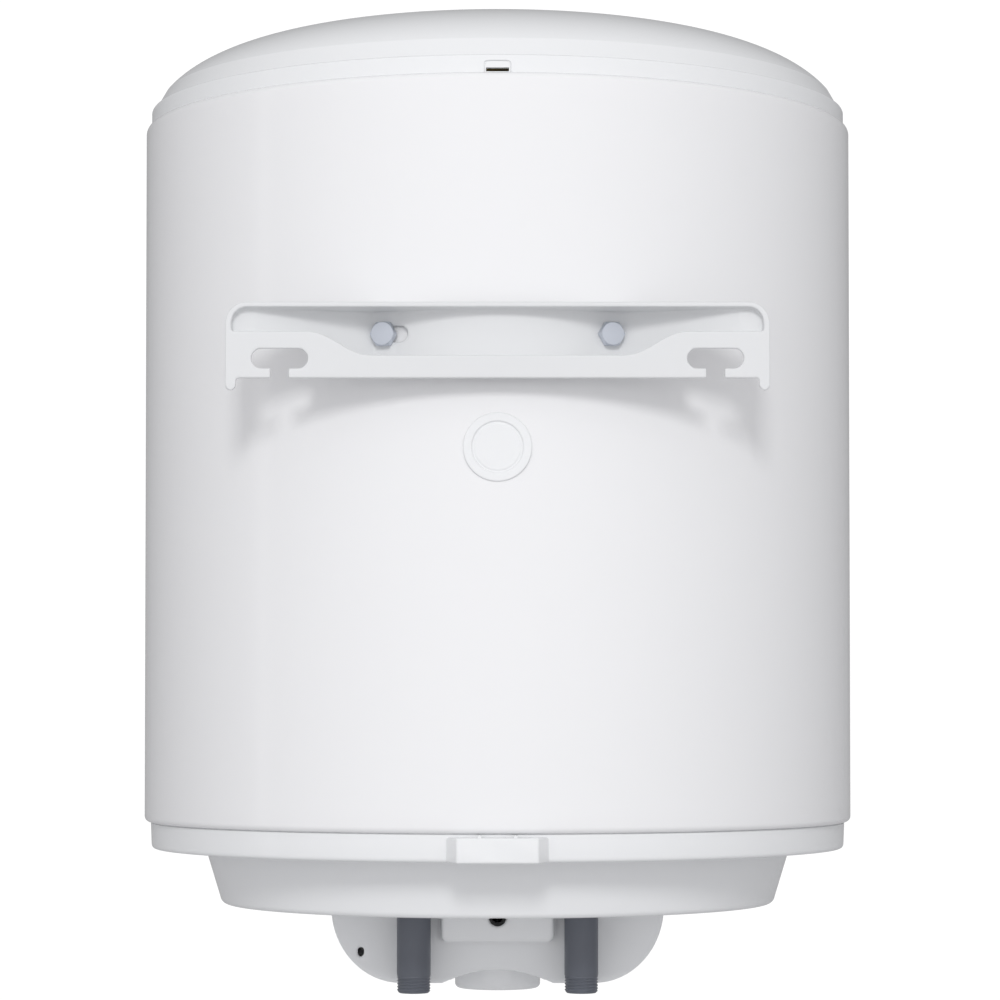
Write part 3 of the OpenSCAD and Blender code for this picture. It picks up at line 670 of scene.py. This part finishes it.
class HEATER_OT_top_cap(bpy.types.Operator):
    """Build the moulded top cap with its bands, crease and snap tab"""

    bl_idname = "heater.top_cap"
    bl_label = "Top cap"

    def crown(self, inset):
        """The crown's section, a squared ellipse from the crease to the middle of the top."""
        base_z = JOINT_Z - 20
        base_r = CASING_R + 1.6
        height = CROWN_Z - base_z - inset
        crease = JOINT_Z + 21
        first = math.acos(((crease - base_z - inset) / height) ** 1.3)
        points = []
        for i in range(41):
            a = first * (1 - i / 40)
            points.append(
                ((base_r - inset) * math.sin(a) ** (2 / 3.43), base_z + height * math.cos(a) ** (2 / 2.6))
            )
        return points

    def execute(self, context):
        shape = context.scene.heater_shape
        soft = shape.edge_radius
        skirt = CASING_R - 4.7
        band = CASING_R - 3.3
        outer = self.crown(0)
        crease = outer[0]
        outline = [
            (skirt, JOINT_Z - 12),
            (skirt, JOINT_Z + 0.01),
            (band, JOINT_Z + 0.01, 0.5),
            (band, JOINT_Z + 10, soft),
            (band - 2.2, JOINT_Z + 10.6, 0.4),
            (crease[0], crease[1], 1.6),
        ]
        outline += outer[1:]
        outline += self.crown(2.5)[::-1]
        outline += [(skirt - 2.5, JOINT_Z + 7.5), (skirt - 2.5, JOINT_Z - 12)]
        cap = turned("top_cap_moulding", softened(outline), shape.round_steps)
        front = AXIS_Y + band
        upright = Matrix.Rotation(math.pi / 2, 4, "X")  # outlines drawn in X-Z

        def tab(width, height, near, far):
            outline = softened(
                [
                    (-width / 2 + 50, 0),
                    (width / 2 + 50, 0),
                    (width / 2 + 50, height, 3),
                    (-width / 2 + 50, height, 3),
                ]
            )
            outline = [(x - 50, z + JOINT_Z) for x, z in outline]
            return prism("tab", outline, -far, -near, upright)

        combine(cap, tab(15.7, 7.0, front - 0.9, front + 4), "DIFFERENCE")
        combine(cap, rounded(tab(14.4, 6.3, front - 2.2, front + 0.55), 0.35, 2), "UNION")
        slot = block("slot", (-6.4, front - 6, JOINT_Z + 0.5), (6.4, front + 4, JOINT_Z + 2.7))
        combine(cap, slot, "DIFFERENCE")
        settle(cap, "heater", "white_plastic", "top_cap", angle=28)
        return {"FINISHED"}


class HEATER_OT_bottom_cap(bpy.types.Operator):
    """Build the moulded bottom cap: ring, boss, bowl and pipe holes"""

    bl_idname = "heater.bottom_cap"
    bl_label = "Bottom cap"

    def execute(self, context):
        shape = context.scene.heater_shape
        soft = shape.edge_radius
        skirt = CASING_R - 4.7
        ring = CASING_R - 3.8
        ring_z = LIP_Z - 16.2
        bowl_top, bowl_floor, service = CASING_R - 37.2, CASING_R - 46.3, 64
        wall = 2.5
        outline = [
            (skirt, LIP_Z + 12),
            (skirt, LIP_Z - 0.6),
            (ring, LIP_Z - 0.6, soft),
            (ring - 0.6, ring_z, 3),
            (bowl_top, ring_z, 1.2),
        ]
        outline += arc(bowl_floor - 4.5, BOWL_Z + 4.5, 4.5, -10, -90)
        outline += [
            (service, BOWL_Z, 0.6),
            (service, BOWL_Z + wall, 0.6),
            (bowl_floor - wall - 1, BOWL_Z + wall),
            (bowl_top - wall, ring_z + wall),
            (skirt - wall, ring_z + wall),
            (skirt - wall, LIP_Z + 12),
        ]
        cap = turned("bottom_cap_moulding", softened(outline), shape.round_steps)

        pad_top = LIP_Z - 2
        reach = CASING_R + 7.5
        outline = [(-32.5, ring - 12), (32.5, ring - 12), (22.75, reach), (-22.75, reach)]
        pad = rounded(prism("pad", outline, ring_z, pad_top, AXIS), 1.3, 4)
        inner = turned(
            "pad_inside", [(0, ring_z - 5), (ring - 3, ring_z - 5), (ring - 3, LIP_Z), (0, LIP_Z)], 288
        )
        combine(pad, inner, "DIFFERENCE")
        combine(cap, pad, "UNION")
        for x in (-10, 10):
            low = (x - 1, AXIS_Y + ring - 1, pad_top - 1.4)
            high = (x + 1, AXIS_Y + reach - 0.9, LIP_Z - 0.6)
            combine(cap, rounded(block("rib", low, high), 0.3, 2), "UNION")
        seam = block(
            "seam", (-0.2, AXIS_Y + reach - 0.25, ring_z + 1.5), (0.2, AXIS_Y + reach + 1, pad_top - 1.5)
        )
        combine(cap, seam, "DIFFERENCE")

        for x in (-50, 50):
            hole = turned(
                "hole",
                [(0, 0), (12.5, 0), (12.5, 12), (0, 12)],
                64,
                AXIS @ Matrix.Translation((x, 65, BOWL_Z - 5)),
            )
            combine(cap, hole, "DIFFERENCE")
        notch = Matrix.Translation(
            (0, AXIS_Y + bowl_floor - 8, BOWL_Z)
        ) @ TO_WALL @ Matrix.Diagonal((1, 0.28, 1, 1))
        combine(cap, turned("notch", [(0, 0), (4.3, 0), (4.3, 14), (0, 14)], 48, notch), "DIFFERENCE")
        settle(cap, "heater", "white_plastic", "bottom_cap", angle=28)
        return {"FINISHED"}


class HEATER_OT_bracket(bpy.types.Operator):
    """Build the pressed wall bracket and its two bolts"""

    bl_idname = "heater.bracket"
    bl_label = "Wall bracket and bolts"

    def execute(self, context):
        shape = context.scene.heater_shape
        bracket = pressed_copy("wall_bracket", "pressed_bracket", shape.bracket_grain, 7)
        settle(bracket, "heater", "white_paint", "wall_bracket", angle=60, finish=painted_bracket_steel)

        across, head, hole_x, hole_z = 13.0, 5.3, 62.0, 15.8
        lean = math.asin(hole_x / CASING_R)
        seat = CASING_R + 3 * math.cos(lean)
        corner = across / 2 / math.cos(math.pi / 6)
        bolts = []
        for side in (-1, 1):
            place = (
                Matrix.Translation((0, AXIS_Y, hole_z))
                @ Matrix.Rotation(-side * lean, 4, "Z")
                @ Matrix.Translation((0, seat, 0))
                @ TO_WALL
            )
            bolt = prism("bolt", arc(0, 0, corner, 0, 360, 6)[:-1], 0.02, head - 0.02, place)
            # The chamfer that a turned end leaves on the hexagon
            bounds = softened(
                [
                    (0, -1),
                    (corner + 1, -1),
                    (corner + 1, head - 2.1),
                    (across / 2 - 0.2, head - 0.05, 0.2),
                    (0, head - 0.05),
                ]
            )
            combine(bolt, turned("chamfer", bounds, 96, place), "INTERSECT")
            rounded(bolt, 0.18, 2, 25)
            shank = turned("shank", softened([(0, -22), (4, -22, 0.8), (4, 0.5), (0, 0.5)]), 48, place)
            bolts += [bolt, shank]
        settle(joined("hexagon_bolts", bolts), "heater", "zinc_steel", "bracket_bolts", angle=25)
        return {"FINISHED"}


class HEATER_OT_foam_plug(bpy.types.Operator):
    """Build the plug in the foam filling hole"""

    bl_idname = "heater.foam_plug"
    bl_label = "Foam plug"

    def execute(self, context):
        low, high = node_box("foam_plug")
        place = Matrix.Translation((0, high.y, (low.z + high.z) / 2)) @ TO_WALL
        rim = (high.x - low.x) / 2
        stem = 13.8
        outline = softened(
            [
                (0, low.y - high.y),
                (stem, low.y - high.y, 1.5),
                (stem, -2.1),
                (rim - 0.02, -2.1),
                (rim - 0.02, -0.02, 0.9),
                (stem + 0.9, -0.02, 0.35),
                (stem + 0.2, -1.0, 0.3),
                (stem - 0.5, -1.0, 0.3),
                (stem - 1.2, -0.6, 0.3),
                (0, -0.6),
            ]
        )
        settle(turned("foam_hole_plug", outline, 128, place), "heater", "white_plastic", "foam_plug")
        return {"FINISHED"}


class HEATER_OT_pipes(bpy.types.Operator):
    """Build the two water pipes with their cut threads"""

    bl_idname = "heater.pipes"
    bl_label = "Water pipes"

    def pipe(self, name, node, shape):
        low, high = node_box(node)
        # The pipe is slimmer than its CAD copy, which keeps the nominal size of the thread
        body = (high.x - low.x) / 2 - 0.55
        crest = body - 0.15
        bore = 8.0
        length = 10.5
        pitch, depth = shape.thread_pitch, shape.thread_depth
        steps = 96
        rows = []
        count = int(length / pitch * 12)
        for i in range(count + 1):
            z = length * i / count
            row = []
            for k in range(steps):
                phase = 2 * math.pi * (z / pitch - k / steps)
                ridge = 0.5 + 0.5 * math.cos(phase)
                fade = min(1.0, (length - z) / (1.2 * pitch))
                radius = crest - depth * fade * (1 - ridge**0.8)
                radius = min(radius, crest - 1.3 + z) if z < 1.3 else radius
                row.append((radius, low.z + z))
            rows.append(row)
        rows += [[(body - 0.1, low.z + length + 0.15)] * steps, [(body, low.z + length + 0.5)] * steps]
        rows += [[(body, high.z)] * steps, [(bore, high.z)] * steps]
        rows += [[(bore, low.z + 0.6)] * steps, [(bore + 0.5, low.z)] * steps]
        points, faces = [], []
        for row in rows:
            for k, (r, z) in enumerate(row):
                a = 2 * math.pi * k / steps
                points.append((r * math.cos(a), r * math.sin(a), z))
        for i in range(len(rows)):
            near, far = i * steps, (i + 1) % len(rows) * steps
            for k in range(steps):
                n = (k + 1) % steps
                faces.append([near + k, near + n, far + n, far + k])
        place = Matrix.Translation(((low.x + high.x) / 2, (low.y + high.y) / 2, 0))
        settle(piece_from(name, points, faces, place), "heater", "pipe_steel", node, angle=50)

    def execute(self, context):
        shape = context.scene.heater_shape
        self.pipe("cold_pipe", "cold_inlet_pipe", shape)
        self.pipe("hot_pipe", "hot_outlet_pipe", shape)
        return {"FINISHED"}


class HEATER_OT_control_cover(bpy.types.Operator):
    """Build the moulded control cover with the raised marks round its dial"""

    bl_idname = "heater.control_cover"
    bl_label = "Control cover"

    def execute(self, context):
        shape = context.scene.heater_shape
        cover = pressed_copy("control_cover", "cover_moulding", shape.cover_grain, 8)
        low = node_box("control_cover")[0]
        near, far, rise = KNOB_R + 9.1, 55.0, 14.0
        slope = math.atan2(rise, far - near)
        marks = []
        for i in range(shape.dial_marks):
            share = i / max(1, shape.dial_marks - 1)
            angle = -math.pi / 2 + math.radians(135) * (1 - 2 * share)
            length, width = 5.5, 0.8 + 1.4 * share
            middle = near + 8.5
            height = low.z + rise - (middle - near) * math.tan(slope)
            place = (
                AXIS
                @ Matrix.Rotation(angle, 4, "Z")
                @ Matrix.Translation((middle, 0, height))
                @ Matrix.Rotation(slope, 4, "Y")
            )
            mark = block("mark", (-length / 2, -width / 2, -0.55), (length / 2, width / 2, 0.6))
            mark.data.transform(Matrix.Translation(place.translation * MM) @ place.to_3x3().to_4x4())
            marks.append(rounded(mark, 0.25, 2))
        settle(
            joined("control_cover_moulding", [cover] + marks),
            "heater",
            "white_plastic",
            "control_cover",
            angle=50,
        )
        return {"FINISHED"}


class HEATER_OT_knob(bpy.types.Operator):
    """Build the temperature knob with its grip bar and pointer"""

    bl_idname = "heater.knob"
    bl_label = "Temperature knob"

    def execute(self, context):
        low, high, r = KNOB_LOW, KNOB_HIGH, KNOB_R
        floor = low.z + 5.2
        outline = [
            (0, high.z - 12),
            (3.1, high.z - 12),
            (3.1, high.z),
            (r, high.z, 0.8),
        ]
        outline += arc(r - 3, low.z + 3, 3, 0, -90)
        outline += [(r - 5.2, low.z, 1.0), (r - 6.0, floor, 1.8), (0, floor)]
        knob = turned("knob_moulding", softened(outline), 160)
        reach = r - 5.7
        bar = block("bar", (-4.6, AXIS_Y - reach, low.z + 0.5), (4.6, AXIS_Y + reach, floor + 1))
        combine(knob, rounded(bar, 1.4, 4), "UNION")
        groove = block("groove", (-0.6, AXIS_Y - r - 1, low.z - 1), (0.6, AXIS_Y - r + 13, low.z + 1.2))
        combine(knob, groove, "DIFFERENCE")
        settle(knob, "knob", "white_plastic", "thermostat_knob")
        return {"FINISHED"}


class HEATER_OT_fittings(bpy.types.Operator):
    """Build the cable bush, the lamp lens and the cover's screws"""

    bl_idname = "heater.fittings"
    bl_label = "Bush, lens and screws"

    def execute(self, context):
        low, high = node_box("cable_grommet")
        place = Matrix.Translation((0, high.y, (low.z + high.z) / 2)) @ TO_WALL
        flange, neck, bore = (high.x - low.x) / 2, 4.45, 3.2
        depth = low.y - high.y
        outline = softened(
            [
                (bore, depth),
                (flange, depth, 0.4),
                (flange, depth + 1.5, 0.4),
                (neck, depth + 1.5),
                (neck, -0.8),
                (flange - 0.2, -0.8),
                (flange - 0.2, -0.02, 0.45),
                (bore, -0.02, 0.7),
            ]
        )
        settle(turned("cable_bush", outline, 64, place), "heater", "black_rubber", "cable_grommet")

        low, high = node_box("lamp_lens")
        place = Matrix.Translation(((low.x + high.x) / 2, (low.y + high.y) / 2, 0))
        r = (high.x - low.x) / 2
        outline = [(0, high.z), (r, high.z), (r, low.z + 1.2)]
        outline += [
            (
                r * math.cos(math.radians(a)), low.z + 1.2 - 1.2 * math.sin(math.radians(a))
            ) for a in range(15, 91, 15)
        ]
        settle(turned("lamp_window", outline, 64, place), "heater", "red_lens", "lamp_lens")

        low, high = node_box("cover_screws")
        head, seat = low.z, low.z + 3
        screws = []
        screw_circle = 84.0
        for a in (10, 170, 270):
            x, y = screw_circle * math.cos(math.radians(a)), screw_circle * math.sin(math.radians(a))
            place = AXIS @ Matrix.Translation((x, y, 0))
            outline = softened(
                [(0, head), (3.98, head, 1.6), (3.98, seat, 0.3), (2, seat), (2, high.z - 1.5), (0, high.z)]
            )
            screw = turned("screw", outline, 64, place)
            for turn in (0, math.pi / 2):
                slot = [(x, y) for x, y in ((-2.2, -0.4), (2.2, -0.4), (2.2, 0.4), (-2.2, 0.4))]
                cross = prism("cross", slot, head - 1, head + 1.4, place @ Matrix.Rotation(turn, 4, "Z"))
                combine(screw, cross, "DIFFERENCE")
            screws.append(screw)
        settle(joined("cover_screw_set", screws), "heater", "zinc_steel", "cover_screws")
        return {"FINISHED"}


class HEATER_OT_inside(bpy.types.Operator):
    """Finish the pieces inside the heater, which keep their CAD shapes"""

    bl_idname = "heater.inside"
    bl_label = "Inner pieces"

    def execute(self, context):
        slots = {p["node"]: p["material_slot"] for p in frame["record"]["subparts"]}
        for name, node in frame["nodes"].items():
            if node.hide_render:
                continue
            finish = FINISHES[slots[name]]()
            node.data.materials.clear()
            node.data.materials.append(finish)
        return {"FINISHED"}


# ---- studio ----


class HEATER_OT_studio(bpy.types.Operator):
    """Set up the floor, the light and the camera"""

    bl_idname = "heater.studio"
    bl_label = "Studio"

    def softbox(self, name, at, aim, width, height, power, glossy=True):
        lamp = bpy.data.lights.new(name, "AREA")
        lamp.shape = "RECTANGLE"
        lamp.size, lamp.size_y = width, height
        lamp.energy = power
        light = bpy.data.objects.new(name, lamp)
        light.location = at
        light.rotation_euler = (Vector(aim) - Vector(at)).to_track_quat("-Z", "Y").to_euler()
        light.visible_glossy = glossy
        bpy.context.scene.collection.objects.link(light)

    def execute(self, context):
        scene = context.scene
        studio = scene.heater_studio
        scene.view_settings.view_transform = "Standard"
        scene.view_settings.look = "None"
        middle = (0.0, AXIS_Y * MM, -0.05)

        floor_mesh = bpy.data.meshes.new("studio_floor")
        rings, ring_steps = 12, 96
        points = [(0.0, 0.0, 0.0)]
        for i in range(1, rings + 1):
            points += [(x, y, 0.0) for x, y in arc(0, 0, 8.0 * i / rings, 0, 360, ring_steps)[:-1]]
        faces = [[0, 1 + k, 1 + (k + 1) % ring_steps] for k in range(ring_steps)]
        for i in range(rings - 1):
            near, far = 1 + i * ring_steps, 1 + (i + 1) * ring_steps
            faces += [
                [
                    near + k, far + k, far + (k + 1) % ring_steps, near + (k + 1) % ring_steps
                ] for k in range(ring_steps)
            ]
        floor_mesh.from_pydata(points, [], faces)
        floor = bpy.data.objects.new("studio_floor", floor_mesh)
        floor.location = (0, AXIS_Y * MM, studio.floor_height)
        scene.collection.objects.link(floor)
        # Pale studio vinyl: matt, nearly white
        floor_mesh.materials.append(textured_finish("studio_vinyl", "#E9E9EA", 3.0, 0.05, 0.8, 0.03, 0.02))

        world = bpy.data.worlds.new("studio_sky")
        scene.world = world
        world.use_nodes = True
        tree = world.node_tree
        tree.nodes.clear()
        direction = add_node(tree, "ShaderNodeTexCoord").outputs["Generated"]
        # The room is brightest low on the wall side and dims towards its top and far side
        slant = add_node(
            tree, "ShaderNodeVectorMath", {0: direction, 1: (0.0, 0.8, -0.6)}, operation="DOT_PRODUCT"
        )
        strength = add_node(
            tree,
            "ShaderNodeMapRange",
            {
                "Value": slant.outputs["Value"],
                "From Min": -1.0,
                "From Max": 1.0,
                "To Min": studio.far_sky,
                "To Max": studio.near_sky,
            },
        )
        # Dark flags at both sides draw the edges of a white object
        across = add_node(tree, "ShaderNodeSeparateXYZ", {"Vector": direction}).outputs["X"]
        squared = add_node(tree, "ShaderNodeMath", {0: across, 1: across}, operation="MULTIPLY")
        flags = add_node(
            tree,
            "ShaderNodeMath",
            {0: squared.outputs["Value"], 1: -studio.flags, 2: 1.0},
            operation="MULTIPLY_ADD",
        )
        shaped = add_node(
            tree,
            "ShaderNodeMath",
            {0: strength.outputs["Result"], 1: flags.outputs["Value"]},
            operation="MULTIPLY",
        )
        light = add_node(
            tree, "ShaderNodeBackground", {"Color": srgb("#FDFDFF"), "Strength": shaped.outputs["Value"]}
        )
        # The paper behind the heater is seen white, and the room's light is softer than it
        paper = add_node(
            tree, "ShaderNodeBackground", {"Color": srgb("#FFFFFF"), "Strength": studio.backdrop}
        )
        seen = add_node(tree, "ShaderNodeLightPath").outputs["Is Camera Ray"]
        mixed = add_node(
            tree,
            "ShaderNodeMixShader",
            {0: seen, 1: light.outputs["Background"], 2: paper.outputs["Background"]},
        )
        add_node(tree, "ShaderNodeOutputWorld", {"Surface": mixed.outputs["Shader"]})

        # The key lights and casts shadows but is left out of reflections, where it would be a hot spot
        self.softbox("key_softbox", (0.1, 5.6, 2.35), middle, 0.9, 1.1, studio.key_power, glossy=False)
        self.softbox("side_strip", (3.1, 0.46, 0.3), middle, 0.24, 3.4, studio.side_power)

        lens = bpy.data.cameras.new("product_camera")
        lens.sensor_width = 36.0
        lens.lens = 122.4
        lens.shift_x = 0.00245
        lens.shift_y = 0.1
        camera = bpy.data.objects.new("product_camera", lens)
        camera.location = (0, AXIS_Y * MM + studio.camera_distance, studio.camera_height)
        tilt = math.atan(lens.shift_y * lens.sensor_width / lens.lens)
        camera.rotation_euler = (math.pi / 2 + tilt, 0, math.pi)
        scene.collection.objects.link(camera)
        scene.camera = camera
        return {"FINISHED"}


class HEATER_PT_panel(bpy.types.Panel):
    """Lists the heater's pieces and settings"""

    bl_idname = "HEATER_PT_panel"
    bl_label = "Tank Water Heater"
    bl_space_type = "VIEW_3D"
    bl_region_type = "UI"
    bl_category = "Heater"

    def draw(self, context):
        layout = self.layout
        for operator in PIECES:
            layout.operator(operator.bl_idname)
        for settings in (
            context.scene.heater_shape, context.scene.heater_finish, context.scene.heater_studio
        ):
            box = layout.box()
            for key in settings.__annotations__:
                box.prop(settings, key)


SETTINGS = (HeaterShape, HeaterFinish, StudioSettings)
PIECES = (
    HEATER_OT_casing,
    HEATER_OT_top_cap,
    HEATER_OT_bottom_cap,
    HEATER_OT_bracket,
    HEATER_OT_foam_plug,
    HEATER_OT_pipes,
    HEATER_OT_control_cover,
    HEATER_OT_knob,
    HEATER_OT_fittings,
    HEATER_OT_inside,
    HEATER_OT_studio,
)


def register():
    """Makes the settings, operators and panel known to Blender."""
    for item in SETTINGS + PIECES + (HEATER_PT_panel,):
        bpy.utils.register_class(item)
    bpy.types.Scene.heater_shape = bpy.props.PointerProperty(type=HeaterShape)
    bpy.types.Scene.heater_finish = bpy.props.PointerProperty(type=HeaterFinish)
    bpy.types.Scene.heater_studio = bpy.props.PointerProperty(type=StudioSettings)


def unregister():
    """Removes what register added."""
    del bpy.types.Scene.heater_studio
    del bpy.types.Scene.heater_finish
    del bpy.types.Scene.heater_shape
    for item in (HEATER_PT_panel,) + PIECES[::-1] + SETTINGS[::-1]:
        bpy.utils.unregister_class(item)


def main():
    """Builds every piece and the studio."""
    register()
    bpy.ops.heater.casing()
    bpy.ops.heater.top_cap()
    bpy.ops.heater.bottom_cap()
    bpy.ops.heater.bracket()
    bpy.ops.heater.foam_plug()
    bpy.ops.heater.pipes()
    bpy.ops.heater.control_cover()
    bpy.ops.heater.knob()
    bpy.ops.heater.fittings()
    bpy.ops.heater.inside()
    bpy.ops.heater.studio()
    bpy.context.view_layer.update()


if __name__ == "__main__":
    main()
